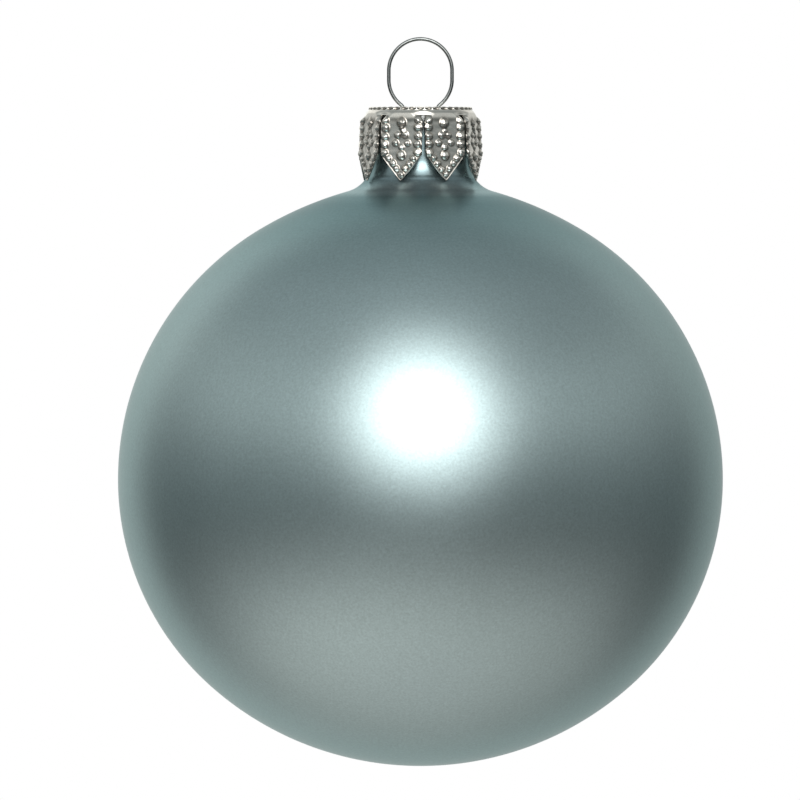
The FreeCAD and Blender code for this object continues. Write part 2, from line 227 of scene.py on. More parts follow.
def ball_section():
    """Closed section of the glass: outside up, round the melted lip, and inside down."""
    outside = []
    for radius, height in ball_outline(0.0):
        edge = math.exp(-(((height - LACQUER_EDGE) / LACQUER_EDGE_WIDTH) ** 2))
        outside.append((radius + LACQUER_EDGE_RISE * edge, height))
    inside = ball_outline(GLASS_WALL)
    middle = (NECK_RADIUS - GLASS_WALL / 2, LIP - GLASS_WALL / 2)
    lip = arc_points(middle, GLASS_WALL / 2, 0, math.pi, 9)[1:-1]
    return outside, lip, inside[::-1]


def make_glass_ball(lacquer, silvering, raw_glass, columns=224):
    """Turn the section around Z. The outside is lacquered and the inside is silvered."""
    lacquered, silvered, bare = range(3)
    outside, lip, inside = ball_section()
    section = outside + lip + inside
    rows = len(section)
    points = [(0.0, 0.0, section[0][1])]
    turns = np.linspace(0, 2 * math.pi, columns, endpoint=False)
    for radius, height in section[1:-1]:
        points += [(radius * math.cos(a), radius * math.sin(a), height) for a in turns]
    points.append((0.0, 0.0, section[-1][1]))
    last = len(points) - 1
    faces, kinds = [], []
    for column in range(columns):
        following = (column + 1) % columns
        faces.append((0, 1 + following, 1 + column))
        kinds.append(lacquered)
        top = 1 + (rows - 3) * columns
        faces.append((last, top + column, top + following))
        kinds.append(silvered)
    for row in range(rows - 3):
        base = 1 + row * columns
        above = base + columns
        if row < len(outside) - 2:
            kind = lacquered
        elif row < len(outside) + len(lip) - 1:
            kind = bare
        else:
            kind = silvered
        for column in range(columns):
            following = (column + 1) % columns
            faces.append((base + column, base + following, above + following, above + column))
            kinds.append(kind)
    make_piece(
        "lacquered_ball", points, faces, "ball", "glass_ball",
        (lacquer, silvering, raw_glass), kinds,
    )


# --- crown cap ----------------------------------------------------------------------------

# Beads pressed into each petal: across, height, radius and how far they stand out.
EDGE_ACROSS = 2.32
BIG_BEADS = ((0.0, -10.85, 0.60, 0.36), (0.0, -15.25, 0.62, 0.38))
TIP_BEAD = (0.0, -17.72, 0.44, 0.30)
STALK = ((0.02, -11.55, 0.36, 0.22), (0.10, -12.0, 0.34, 0.22), (0.12, -12.45, 0.32, 0.18))
FLOWER = (0.0, -13.25)
FLOWER_RADIUS = 0.88
FLOWER_LOBES = 5
LOBE_SIZE = (0.42, 0.26)
EDGE_BEAD_HEIGHTS = (-10.5, -11.56, -12.64, -13.74, -14.84)
EDGE_BEAD_SIZE = (0.53, 0.32)
SLANT_BEADS = 3
SLANT_BEAD_SIZE = (0.44, 0.30)

# How unevenly the beads are pressed.
BEAD_SHIFT = 0.035
BEAD_LEAN = (0.05, 0.35)
RADIUS_SHARE = (0.92, 1.08)
RISE_SHARE = (0.82, 1.1)
DOME_POWER = 0.7  # under 1 makes a bead rounder than a parabola
DENT_DEPTH = 0.017
DENT_WAVES = (8.0, 14.0)  # radians per millimetre
DENT_FULL = 0.15  # a bead this high has its full dents
CRINKLE_DEPTH = 0.002
CRINKLE_WAVES = (3.0, 8.0)
RIPPLES = 6  # waves in each pattern of dents or crinkles

# The raised border, and the shade painted into the sheet's colour: 0 is none, 1 is darkest.
BORDER_RISE = 0.03
BORDER_WIDTH = 0.12
# Painted shade along the petal's edges:
BORDER_SHADE = 0.95
# Where the painted shade rings each bead's foot:
SHADE_RING_MIDDLE = 1.02  # in bead radii from the bead's middle
SHADE_RING_WIDTH = 0.28
PAINTED_BAND_SHADE = 0.8  # painted shade across the petal under the bevel
PAINTED_BAND_HEIGHT = -10.55
PAINTED_BAND_SPREAD = 0.32
PAINTED_BAND_HALF_WIDTH = 1.9
# A band of painted shade round the bevel, and painted shade in the rim's dimples:
BEVEL_SHADE = 0.3
BEVEL_SHADE_HEIGHT = -9.48
BEVEL_SHADE_SPREAD = 0.16
KNURL_SHADE = 0.75
KNURL_SHADE_GAIN = 1.6  # how fast the painted shade deepens toward a dimple's middle

CREST_ROWS = 8
BEVEL_ROWS = 18
PETAL_COLUMNS = 50
GAP_COLUMNS = 4  # on each side of a petal, over the notches
PETAL_ROWS = 68
ROW_CROWDING = 0.035  # moves the petal's rows a little toward its tip
PATTERN_FADE = 0.35  # the pattern starts over this height under the bevel
HOLE_SEGMENTS = 28
CAP_SEED = 8


class Sheet:
    """A folded sheet: outer points, the inner point behind each, its painted shade, and outer faces."""

    def __init__(self):
        self.outer, self.inner, self.crevices, self.faces = [], [], [], []

    def add(self, out_point, in_point, crevice=0.0):
        """Add an outer point with the inner one behind it, and return its number."""
        self.outer.append(out_point)
        self.inner.append(in_point)
        self.crevices.append(crevice)
        return len(self.outer) - 1

    def join(self, upper, lower):
        """Add the faces between two rows of points."""
        for column in range(len(upper) - 1):
            self.faces.append((upper[column], lower[column], lower[column + 1], upper[column + 1]))


def petal_beads(rng):
    """The beads of one petal, each pressed a little differently."""
    beads = list(BIG_BEADS) + [TIP_BEAD] + list(STALK)
    for lobe in range(FLOWER_LOBES):
        angle = math.pi * (0.5 + 2 * (lobe + 0.5) / FLOWER_LOBES)
        across = FLOWER[0] + FLOWER_RADIUS * math.cos(angle)
        beads.append((across, FLOWER[1] + FLOWER_RADIUS * math.sin(angle)) + LOBE_SIZE)
    for side in (-1, 1):
        beads += [(side * EDGE_ACROSS, height) + EDGE_BEAD_SIZE for height in EDGE_BEAD_HEIGHTS]
        for step in range(1, SLANT_BEADS + 1):
            share = step / (SLANT_BEADS + 1)
            across = side * EDGE_ACROSS * (1 - share)
            height = EDGE_BEAD_HEIGHTS[-1] + share * (TIP_BEAD[1] - EDGE_BEAD_HEIGHTS[-1])
            beads.append((across, height) + SLANT_BEAD_SIZE)
    pressed = []
    for across, height, radius, rise in beads:
        shift = rng.normal(0.0, BEAD_SHIFT, 2)
        lean = rng.uniform(*BEAD_LEAN) / radius
        way = rng.uniform(0, 2 * math.pi)
        pressed.append((
            across + shift[0], height + shift[1], radius * rng.uniform(*RADIUS_SHARE),
            rise * rng.uniform(*RISE_SHARE), lean * math.cos(way), lean * math.sin(way),
        ))
    return pressed


def ripples(across, height, depth, waves, rng):
    """Uneven ripples: a sum of waves of one depth, each with its own way, pitch and phase."""
    total = np.zeros_like(across)
    for _ in range(RIPPLES):
        wave = rng.uniform(*waves)
        way, phase = rng.uniform(0, 2 * math.pi, 2)
        total += depth * np.sin(wave * (math.cos(way) * across + math.sin(way) * height) + phase)
    return total


def bell(distance, width):
    """1 at no distance, falling off smoothly over a width."""
    return np.exp(-((distance / width) ** 2))


def emboss(across, height, half_width, beads, rng):
    """How far the petal's pattern stands out at each point, and how much shade is painted there."""
    rise = np.zeros_like(across)
    crevice = np.zeros_like(across)
    for bead_across, bead_height, radius, bead_rise, lean_across, lean_up in beads:
        aside, above = across - bead_across, height - bead_height
        reach = (aside**2 + above**2) / radius**2
        skew = 1 + lean_across * aside + lean_up * above
        dome = bead_rise * skew * np.clip(1 - reach, 0, 1) ** DOME_POWER
        rise = np.maximum(rise, dome)
        # A ring of painted shade round the bead's foot.
        crevice = np.maximum(crevice, bell(np.sqrt(reach) - SHADE_RING_MIDDLE, SHADE_RING_WIDTH))
    dents = ripples(across, height, DENT_DEPTH, DENT_WAVES, rng)
    rise = rise + dents * np.clip(rise / DENT_FULL, 0, 1)
    # A band of painted shade across the petal under the bevel.
    painted_band = bell(height - PAINTED_BAND_HEIGHT, PAINTED_BAND_SPREAD) * np.exp(-((across / PAINTED_BAND_HALF_WIDTH) ** 4))
    crevice = np.maximum(crevice, PAINTED_BAND_SHADE * painted_band)
    edge = bell(half_width - np.abs(across), BORDER_WIDTH)
    rise = np.maximum(rise, BORDER_RISE * edge)
    # Painted shade along the petal's edges.
    crevice = np.maximum(crevice, BORDER_SHADE * edge**2)
    return rise + ripples(across, height, CRINKLE_DEPTH, CRINKLE_WAVES, rng), crevice


def corner_radius(height):
    """Radius of the cap at its corners, from the rim's foot round the bevel and down the skirt."""
    turn = np.clip((BEVEL_TOP - height) / BEVEL_HEIGHT, 0, 1)
    below = np.clip(BEVEL_TOP - BEVEL_HEIGHT - height, 0, None)
    return BEVEL_RADIUS + BEVEL_BULGE * (1 - (1 - turn) ** 2) + CORNER_LEAN * below


def soft_least(values, soft):
    """Smallest of several arrays, with the corners between them rounded."""
    lowest = np.minimum.reduce(values)
    return lowest - soft * np.log(sum(np.exp((lowest - value) / soft) for value in values))


def leaning_apothem(height):
    """Distance from the axis to the plane of a petal."""
    return SKIRT_APOTHEM + (TIP_APOTHEM - SKIRT_APOTHEM) * (SKIRT_TOP - height) / (SKIRT_TOP - TIP)


def apothem(height):
    """Distance from the axis to a petal's middle: the bevel, a steep step, then the leaning face."""
    bevel = BEVEL_RADIUS + BEVEL_SLOPE * (BEVEL_TOP - height)
    step = STEP_RADIUS + STEP_SLOPE * (SKIRT_TOP - height)
    return soft_least((bevel, step, leaning_apothem(height)), soft=0.008)


def notch_pinch(angle, height):
    """How far the bevel is pinched in around the top of each notch."""
    aside = (HALF_SECTOR - np.abs(angle)) * SKIRT_APOTHEM
    deep = smooth_step(PINCH_START, PINCH_FULL, height) * smooth_step(PINCH_END, PINCH_FADE, height)
    return PINCH_DEPTH * bell(aside, PINCH_WIDTH) * deep


def skirt_radius(angle, height):
    """Radius at an angle from a petal's middle: round by the bevel, flat over the petal."""
    round_part = corner_radius(height) - notch_pinch(angle, height)
    flat_part = apothem(height) / np.cos(angle)
    return soft_least((round_part, flat_part), soft=0.02)


def petal_half_width(height):
    """Half width of a petal: the notch's slope, the slit's edge, then the slant to the tip."""
    corner = (leaning_apothem(height) - SHEET) * math.tan(HALF_SECTOR)
    low = (NOTCH_BOTTOM - height) / (NOTCH_BOTTOM - PETAL_SHOULDER)
    slit = SLIT_HALF_WIDTH + (SLIT_HALF_WIDTH_LOW - SLIT_HALF_WIDTH) * np.clip(low, 0, 1)
    notch = (height - NOTCH_BOTTOM) / (NOTCH_TOP - NOTCH_BOTTOM) * (NOTCH_HALF_WIDTH - SLIT_HALF_WIDTH)
    straight = corner - slit - np.clip(notch, 0, None)
    widest = (leaning_apothem(PETAL_SHOULDER) - SHEET) * math.tan(HALF_SECTOR) - SLIT_HALF_WIDTH_LOW
    share = np.clip((height - TIP) / (PETAL_SHOULDER - TIP), 0, None)
    slant = widest * np.where(share < 1, share**SLANT_BOW, share)
    rounded = soft_least((straight, slant), soft=0.05)
    return np.maximum(rounded + TIP_WIDENING * np.clip(1 - share, 0, 1), LEAST_HALF_WIDTH)


def rim_profile():
    """Radius and height of the rim's rows, in three runs: up inside, over the crest, down outside."""
    fold = (SUNK_RADIUS - FOLD_RADIUS, SUNK_TOP + FOLD_RADIUS)
    inside = arc_points(fold, FOLD_RADIUS, -math.pi / 2, 0, 4) + [(SUNK_RADIUS, INNER_FACE_TOP)]
    middle, half = (SUNK_RADIUS + CREST_RADIUS) / 2, (CREST_RADIUS - SUNK_RADIUS) / 2
    base = RIM_TOP - CREST_RISE
    crest = [
        (middle - half * math.cos(turn), base + CREST_RISE * math.sin(turn))
        for turn in np.linspace(0, math.pi, CREST_ROWS)
    ]
    outside = [
        (CREST_RADIUS + OUTER_FACE_LEAN * (OUTER_LEAN_START - height), height)
        for height in np.linspace(OUTER_FACE_TOP, RIM_FOOT, 10)
    ]
    return inside, crest, outside


def knurl_dimple(angle, height):
    """Depth of the milled dimples round the rim's outer face, 1 at a dimple's middle."""
    pitch = 2 * math.pi / KNURLS
    across = ((angle + pitch / 2) % pitch - pitch / 2) * KNURL_RADIUS
    aside = abs(across / KNURL_HALF_WIDTH) ** 2
    above = abs((height - KNURL_MIDDLE) / KNURL_HALF_HEIGHT) ** 2.4
    return np.clip(1 - aside - above, 0, 1) ** 0.6


def between_knurls(angle):
    """How near an angle is to the gap between two dimples: 1 in the gap, 0 at a dimple's middle."""
    return abs(math.sin(KNURLS * angle / 2)) ** 3


def wrap(offset):
    """Angle from the nearest petal's middle."""
    return np.array((offset + HALF_SECTOR) % (2 * HALF_SECTOR) - HALF_SECTOR)


def turned(out, side, height, angle):
    """The point out along an angle from the axis and aside from it, at a height."""
    across, along = math.cos(angle), math.sin(angle)
    return (out * across - side * along, out * along + side * across, height)


def petal_column_angles():
    """Angles of a petal's columns from its middle, at the notches' top."""
    half_width = float(petal_half_width(np.array(NOTCH_TOP)))
    radius = float(skirt_radius(np.array(half_width / NOTCH_REACH), NOTCH_TOP))
    edge = math.atan2(half_width, radius)
    return np.linspace(-edge, edge, PETAL_COLUMNS + 1)


def add_ring(sheet, middles, offsets):
    """Rows of points all round: the rim, then the bevel down to the notches."""
    inside, crest, outside = rim_profile()
    rim = inside + crest + outside
    scalloped = range(len(inside), len(inside) + CREST_ROWS + 1)  # the crest and the row under it
    outer_half = len(inside) + CREST_ROWS // 2  # the crest's first row on the outer side
    levels = rim + [(None, height) for height in np.linspace(BEVEL_START, NOTCH_TOP, BEVEL_ROWS)]

    # Behind the rim the inner points run outward along the underside of the sunk top.
    underside = SUNK_TOP - SHEET
    behind_rim = len(rim) + sum(1 for _, height in levels[len(rim):] if height >= underside)
    reach_start = SUNK_RADIUS - FOLD_RADIUS
    reach_end = float(corner_radius(np.array(underside))) - SHEET

    rows = []
    for index, (rim_radius, level) in enumerate(levels):
        row = []
        for angle, offset in [(middle + offset, offset) for middle in middles for offset in offsets]:
            height, shade_here = level, 0.0
            if index < len(rim):
                radius = rim_radius
            else:
                radius = float(skirt_radius(wrap(offset), np.array(height)))
                # A band of painted shade round the bevel.
                shade_here = BEVEL_SHADE * float(bell(height - BEVEL_SHADE_HEIGHT, BEVEL_SHADE_SPREAD))
            dimple = float(knurl_dimple(angle, height)) if index >= outer_half else 0.0
            radius -= KNURL_DEPTH * dimple
            if index in scalloped:
                height -= RIM_SCALLOP * between_knurls(angle)
            if index < behind_rim:
                behind = reach_start + (reach_end - reach_start) * index / behind_rim
                behind_height = underside
            else:
                behind, behind_height = radius - SHEET, height
            # Each point keeps the greater painted shade: the bevel's band or the darkened middle of a rim
            # dimple.
            row.append(sheet.add(
                turned(radius, 0.0, height, angle),
                turned(behind, 0.0, behind_height, angle),
                max(shade_here, KNURL_SHADE * min(1.0, KNURL_SHADE_GAIN * dimple)),
            ))
        rows.append(row)
    for upper, lower in zip(rows, rows[1:]):
        sheet.join(upper + upper[:1], lower + lower[:1])
    return rows[0], rows[-1]


def add_petal(sheet, middle, row_above, column_angles, rng):
    """One petal with its pressed pattern, from the ring's last row down to the tip."""
    steps = np.linspace(0, 1, PETAL_ROWS + 1)[1:-1]
    heights = NOTCH_TOP + (TIP - NOTCH_TOP) * (steps + ROW_CROWDING * np.sin(np.pi * steps))
    widths = petal_half_width(heights)[:, None]
    across = widths * (np.tan(column_angles) / math.tan(column_angles[-1]))[None, :]
    levels = np.repeat(heights[:, None], PETAL_COLUMNS + 1, axis=1)
    rise, crevice = emboss(across, levels, widths, petal_beads(rng), rng)
    fade = smooth_step(0.0, PATTERN_FADE, NOTCH_TOP - levels)
    angle = np.arctan2(across, apothem(levels))
    for _ in range(4):
        angle = np.arcsin(across / skirt_radius(angle, levels))
    flat = np.sqrt(np.maximum(skirt_radius(angle, levels) ** 2 - across**2, 0))
    front = flat + rise * fade
    back = front - SHEET - (PETAL_SHEET - SHEET) * fade
    for row, height in enumerate(heights):
        current = []
        for column, side in enumerate(across[row]):
            current.append(sheet.add(
                turned(front[row, column], side, height, middle),
                turned(back[row, column], side, height, middle),
                float(crevice[row, column]),
            ))
        sheet.join(row_above, current)
        row_above = current
    tip = sheet.add(
        turned(TIP_APOTHEM, 0.0, TIP, middle),
        turned(TIP_APOTHEM - PETAL_SHEET, 0.0, TIP, middle),
    )
    sheet.faces += [(one, tip, other) for one, other in zip(row_above, row_above[1:])]


def fill_sunk_top(sheet, edge_row):
    """Fill the disc inside the rim with triangles, and leave its two wire holes open."""
    loops = [list(edge_row)]
    for side in (-1, 1):
        loop = []
        for turn in np.linspace(0, 2 * math.pi, HOLE_SEGMENTS, endpoint=False):
            x, y = side * HOLE_OFFSET + HOLE_RADIUS * math.cos(turn), HOLE_RADIUS * math.sin(turn)
            loop.append(sheet.add((x, y, SUNK_TOP), (x, y, SUNK_TOP - SHEET)))
        loops.append(loop)
    flat = bmesh.new()
    owners = {}
    edges = []
    for loop in loops:
        corners = [flat.verts.new((sheet.outer[index][0], sheet.outer[index][1], 0.0)) for index in loop]
        owners.update(zip(corners, loop))
        edges += [flat.edges.new((one, other)) for one, other in zip(corners, corners[1:] + corners[:1])]
    bmesh.ops.triangle_fill(flat, use_beauty=True, use_dissolve=False, edges=edges)
    for face in flat.faces:
        face.normal_update()
        corners = [owners[corner] for corner in face.verts]
        sheet.faces.append(tuple(corners if face.normal.z > 0 else reversed(corners)))
    flat.free()


def finish_sheet(sheet, metal):
    """Close the sheet with the same faces inside and walls along its open edges."""
    count = len(sheet.outer)
    every = list(sheet.faces)
    every += [tuple(index + count for index in reversed(face)) for face in sheet.faces]
    sides = {(face[i - 1], face[i]) for face in sheet.faces for i in range(len(face))}
    every += [(b, a, a + count, b + count) for a, b in sides if (b, a) not in sides]
    cap = make_piece(
        "crown_sheet", sheet.outer + sheet.inner, every, "cap", "crown_cap", (metal,)
    )
    cap.data.set_sharp_from_angle(angle=math.radians(55))
    # Each point's painted shade, kept for the cap's material to darken its colour by.
    marks = cap.data.attributes.new("crevice", "FLOAT", "POINT")
    marks.data.foreach_set("value", sheet.crevices + sheet.crevices)


def make_crown_cap(metal):
    """One folded sheet: the rim and bevel all round, eight petals, and the sunk top."""
    rng = np.random.default_rng(CAP_SEED)
    sheet = Sheet()
    petal = petal_column_angles()
    gap = np.linspace(petal[-1], 2 * HALF_SECTOR - petal[-1], 2 * GAP_COLUMNS + 1)[1:-1]
    offsets = np.concatenate([petal, gap])
    first = CAP_TURN + HALF_SECTOR - math.pi / 2
    middles = [first + 2 * HALF_SECTOR * sector for sector in range(PETALS)]
    top_row, foot_row = add_ring(sheet, middles, offsets)
    for sector, middle in enumerate(middles):
        start = sector * len(offsets)
        add_petal(sheet, middle, foot_row[start: start + PETAL_COLUMNS + 1], petal, rng)
    fill_sunk_top(sheet, top_row)
    finish_sheet(sheet, metal)


# --- wire hanger --------------------------------------------------------------------------


def wire_centre_line():
    """Points of the wire's middle in the XZ plane, from one leg's end to the other's."""
    moves = (
        (90.0, LOOP_RADIUS, 0), (0, 0, LOOP_STRAIGHT), (LOOP_WRAP, LOOP_RADIUS, 0),
        (-LOOP_WRAP, CROOK_RADIUS, 0), (0, 0, CROOK_STRAIGHT), (-SPLAY_ANGLE, SPLAY_RADIUS, 0),
        (0, 0, SPLAY_LENGTH), (SPLAY_ANGLE + LEG_ANGLE, KNEE_RADIUS, 0), (0, 0, LEG_LENGTH),
    )
    x, z, heading = 0.0, WIRE_RADIUS, 0.0
    points = [(x, z)]
    for turn, radius, length in moves:
        if length:
            steps = max(2, round(length / LINE_STEP))
            for step in range(1, steps + 1):
                reach = length * step / steps
                points.append((x + reach * math.cos(heading), z + reach * math.sin(heading)))
            x, z = points[-1]
            continue
        hand = -1 if turn > 0 else 1
        middle = (x - hand * radius * math.sin(heading), z + hand * radius * math.cos(heading))
        sweep = math.radians(abs(turn))
        steps = max(6, round(abs(turn) / TURN_STEP))
        for step in range(1, steps + 1):
            way = heading + hand * sweep * step / steps
            out = hand * radius
            points.append((middle[0] + out * math.sin(way), middle[1] - out * math.cos(way)))
        x, z = points[-1]
        heading += hand * sweep
    return [(-px, pz) for px, pz in reversed(points[1:])] + points


def make_hanger_wire(steel, sides=18):
    """Sweep a round section along the wire, with slightly rounded cut ends."""
    line = wire_centre_line()
    points, faces = [], []
    last = len(line) - 1
    rings = []
    for index, (x, z) in enumerate(line):
        before, after = line[max(index - 1, 0)], line[min(index + 1, last)]
        way = math.atan2(after[1] - before[1], after[0] - before[0])
        rings.append((x, z, way, WIRE_RADIUS))
    first, end = rings[0], rings[-1]
    cut = CUT_ROUNDING
    rings[0] = (first[0] + cut * math.cos(first[2]), first[1] + cut * math.sin(first[2])) + first[2:]
    rings[-1] = (end[0] - cut * math.cos(end[2]), end[1] - cut * math.sin(end[2])) + end[2:]
    rings.insert(0, first[:3] + (WIRE_RADIUS - cut,))
    rings.append(end[:3] + (WIRE_RADIUS - cut,))
    for x, z, way, radius in rings:
        for turn in np.linspace(0, 2 * math.pi, sides, endpoint=False):
            across = radius * math.cos(turn)
            points.append((x - across * math.sin(way), radius * math.sin(turn), z + across * math.cos(way)))
    for ring in range(len(rings) - 1):
        for side in range(sides):
            following = (side + 1) % sides
            one, two = ring * sides, (ring + 1) * sides
            faces.append((one + side, two + side, two + following, one + following))
    faces.append(tuple(range(sides)))
    faces.append(tuple(reversed(range((len(rings) - 1) * sides, len(rings) * sides))))
    wire = make_piece("wire_hanger", points, faces, "hanger", "hanger_wire", (steel,))
    wire.data.set_sharp_from_angle(angle=math.radians(50))


# --- materials ----------------------------------------------------------------------------

# Zones of the lacquer, as heights in millimetres: where each starts and where it is full.
# Over this zone the lacquer's colour carries painted shade and a painted highlight.
LACQUER_SHADE_AND_HIGHLIGHT = (-40.0, -18.0)
COAT_FADE = (-21.8, -19.6)
EDGE_CHANGE = (LACQUER_EDGE - 0.1, LACQUER_EDGE + 0.1)
# A dark band of painted shade on the neck's top, turning to bare grey by the lip.
NECK_SHADE_BAND = (-12.4, -11.8)
NEAR_LIP = (-10.7, -10.4)

# The lacquer's colour along that zone, from the ball's upper side to its edge.
LACQUER_COLOURS = (
    (0.0, (0.415, 0.512, 0.515)),
    # Darker toward the neck: painted shade.
    (0.32, (0.395, 0.497, 0.505)),
    (0.56, (0.335, 0.445, 0.455)),
    (0.745, (0.235, 0.345, 0.360)),
    (0.83, (0.180, 0.280, 0.300)),
    (0.875, (0.24, 0.35, 0.37)),
    # A lighter band on the flare under the petals: a painted highlight.
    (0.905, (0.54, 0.66, 0.68)),
    (0.93, (0.54, 0.66, 0.68)),
    (0.955, (0.38, 0.49, 0.51)),
    (0.98, (0.26, 0.35, 0.37)),
)
NECK_COLOUR = (0.29, 0.385, 0.40)
# Brown-grey that painted shade darkens the cap's colour toward.
PAINTED_SHADE_COLOUR = (0.17, 0.145, 0.115)


def new_material(name):
    """A new material, with its node tree and its Principled shader."""
    material = bpy.data.materials.new(name)
    material.use_nodes = True
    tree = material.node_tree
    return material, tree, tree.nodes["Principled BSDF"]


def link(tree, source, output, target, socket):
    """Join one node's output to another's socket."""
    tree.links.new(source.outputs[output], target.inputs[socket])


def noise_node(tree, scale, detail=4.0, roughness=0.5, distortion=0.0):
    """A noise pattern in the piece's own coordinates, its scale in patches per metre."""
    place = tree.nodes.new("ShaderNodeTexCoord")
    noise = tree.nodes.new("ShaderNodeTexNoise")
    noise.inputs["Scale"].default_value = scale
    noise.inputs["Detail"].default_value = detail
    noise.inputs["Roughness"].default_value = roughness
    noise.inputs["Distortion"].default_value = distortion
    link(tree, place, "Object", noise, "Vector")
    return noise


def ramp_node(tree, stops, source, output="Fac"):
    """A colour ramp with the given (position, colour) stops, driven by a node's output."""
    ramp = tree.nodes.new("ShaderNodeValToRGB")
    elements = ramp.color_ramp.elements
    while len(elements) < len(stops):
        elements.new(1.0)
    for element, (position, colour) in zip(elements, stops):
        element.position = position
        element.color = tuple(colour) + (1.0,)
    link(tree, source, output, ramp, "Fac")
    return ramp


def range_node(tree, source, output, from_low, from_high, to_low, to_high):
    """Map one range of values to another, clamped."""
    node = tree.nodes.new("ShaderNodeMapRange")
    node.inputs["From Min"].default_value = from_low
    node.inputs["From Max"].default_value = from_high
    node.inputs["To Min"].default_value = to_low
    node.inputs["To Max"].default_value = to_high
    link(tree, source, output, node, "Value")
    return node


def zone_node(tree, split, zone, to_low=0.0, to_high=1.0):
    """A value that changes over a zone of height, given in millimetres."""
    return range_node(tree, split, "Z", zone[0] * MM, zone[1] * MM, to_low, to_high)


def math_node(tree, operation, first, second):
    """Combine two values. Either may be a number or a (node, output) pair."""
    node = tree.nodes.new("ShaderNodeMath")
    node.operation = operation
    for socket, value in enumerate((first, second)):
        if isinstance(value, tuple):
            link(tree, value[0], value[1], node, socket)
        else:
            node.inputs[socket].default_value = value
    return node


def mix_colours(tree, factor, one, two):
    """Mix by a factor output. Either colour may be a constant or a (node, output) pair."""
    mix = tree.nodes.new("ShaderNodeMix")
    mix.data_type = "RGBA"
    link(tree, factor[0], factor[1], mix, "Factor")
    for socket, value in ((6, one), (7, two)):
        if isinstance(value[0], bpy.types.Node):
            link(tree, value[0], value[1], mix, socket)
        else:
            mix.inputs[socket].default_value = tuple(value) + (1.0,)
    return mix


def scale_colour(tree, colour, factor):
    """Multiply a colour output by a value output."""
    node = tree.nodes.new("ShaderNodeVectorMath")
    node.operation = "SCALE"
    link(tree, colour[0], colour[1], node, 0)
    link(tree, factor[0], factor[1], node, "Scale")
    return node


def add_bump(tree, shader, noise, distance):
    """Fine relief on a shader, from a noise pattern, its depth in metres."""
    bump = tree.nodes.new("ShaderNodeBump")
    bump.inputs["Strength"].default_value = 1.0
    bump.inputs["Distance"].default_value = distance
    link(tree, noise, "Fac", bump, "Height")
    link(tree, bump, "Normal", shader, "Normal")


def lacquer_material():
    """Matt teal-grey lacquer over silvered glass, with painted shade toward the neck, a painted highlight
    on the flare, and painted shade under the bare lip.
    """
    material, tree, shader = new_material("matt_lacquer")
    place = tree.nodes.new("ShaderNodeTexCoord")
    split = tree.nodes.new("ShaderNodeSeparateXYZ")
    link(tree, place, "Object", split, "Vector")
    # Colour by height: painted shade darkening toward the neck, then a painted highlight band on the flare.
    depth = ramp_node(tree, LACQUER_COLOURS, zone_node(tree, split, LACQUER_SHADE_AND_HIGHLIGHT), "Result")
    mottle = noise_node(tree, 55.0, detail=3.0)
    shade = range_node(tree, mottle, "Fac", 0.3, 0.7, 0.975, 1.025)
    powder = noise_node(tree, 3200.0, detail=3.0, roughness=0.7)
    speck = range_node(tree, powder, "Fac", 0.25, 0.75, 0.84, 1.16)
    grain = math_node(tree, "MULTIPLY", (shade, "Result"), (speck, "Result"))
    coloured = scale_colour(tree, (depth, "Color"), (grain, "Value"))
    neck = zone_node(tree, split, EDGE_CHANGE)
    necked = mix_colours(tree, (neck, "Result"), (coloured, "Vector"), NECK_COLOUR)
    # Over the neck's top, a dark band of painted shade, then bare grey glass by the lip.
    bare = zone_node(tree, split, NECK_SHADE_BAND)
    near_lip = zone_node(tree, split, NEAR_LIP)
    neck_top_shade_and_grey = ramp_node(tree, ((0.0, (0.16, 0.17, 0.17)), (1.0, (0.38, 0.39, 0.38))), near_lip, "Result")
    tone = mix_colours(tree, (bare, "Result"), (necked, 2), (neck_top_shade_and_grey, "Color"))
    link(tree, tone, 2, shader, "Base Color")
    matt = range_node(tree, mottle, "Fac", 0.3, 0.7, 0.32, 0.35)
    gloss = math_node(tree, "MULTIPLY", (neck, "Result"), -0.05)
    rough = math_node(tree, "ADD", (matt, "Result"), (gloss, "Value"))
    link(tree, rough, "Value", shader, "Roughness")
    add_bump(tree, shader, noise_node(tree, 2600.0, detail=2.0), 0.000004)
    shader.inputs["Metallic"].default_value = 0.92
    shader.inputs["Specular Tint"].default_value = (0.36, 0.45, 0.45, 1.0)
    coat = zone_node(tree, split, COAT_FADE, 0.35, 0.08)
    link(tree, coat, "Result", shader, "Coat Weight")
    shader.inputs["Coat Roughness"].default_value = 0.36
    return material


def silvering_material():
    """Thin mirror silvering on the glass's inside, with its dull streaks."""
    material, tree, shader = new_material("inside_silvering")
    streaks = noise_node(tree, 180.0, detail=5.0, distortion=0.6)
    tone = ramp_node(tree, ((0.3, (0.55, 0.56, 0.55)), (0.7, (0.78, 0.78, 0.76))), streaks)
    link(tree, tone, "Color", shader, "Base Color")
    rough = range_node(tree, streaks, "Fac", 0.3, 0.7, 0.28, 0.12)
    link(tree, rough, "Result", shader, "Roughness")
    shader.inputs["Metallic"].default_value = 1.0
    return material


def raw_glass_material():
    """Pale green edge of the cut and melted lip."""
    material, tree, shader = new_material("cut_glass_lip")
    cloud = noise_node(tree, 900.0, detail=3.0)
    tone = ramp_node(tree, ((0.3, (0.42, 0.52, 0.50)), (0.7, (0.62, 0.72, 0.69))), cloud)
    link(tree, tone, "Color", shader, "Base Color")
    rough = range_node(tree, cloud, "Fac", 0.3, 0.7, 0.08, 0.2)
    link(tree, rough, "Result", shader, "Roughness")
    return material


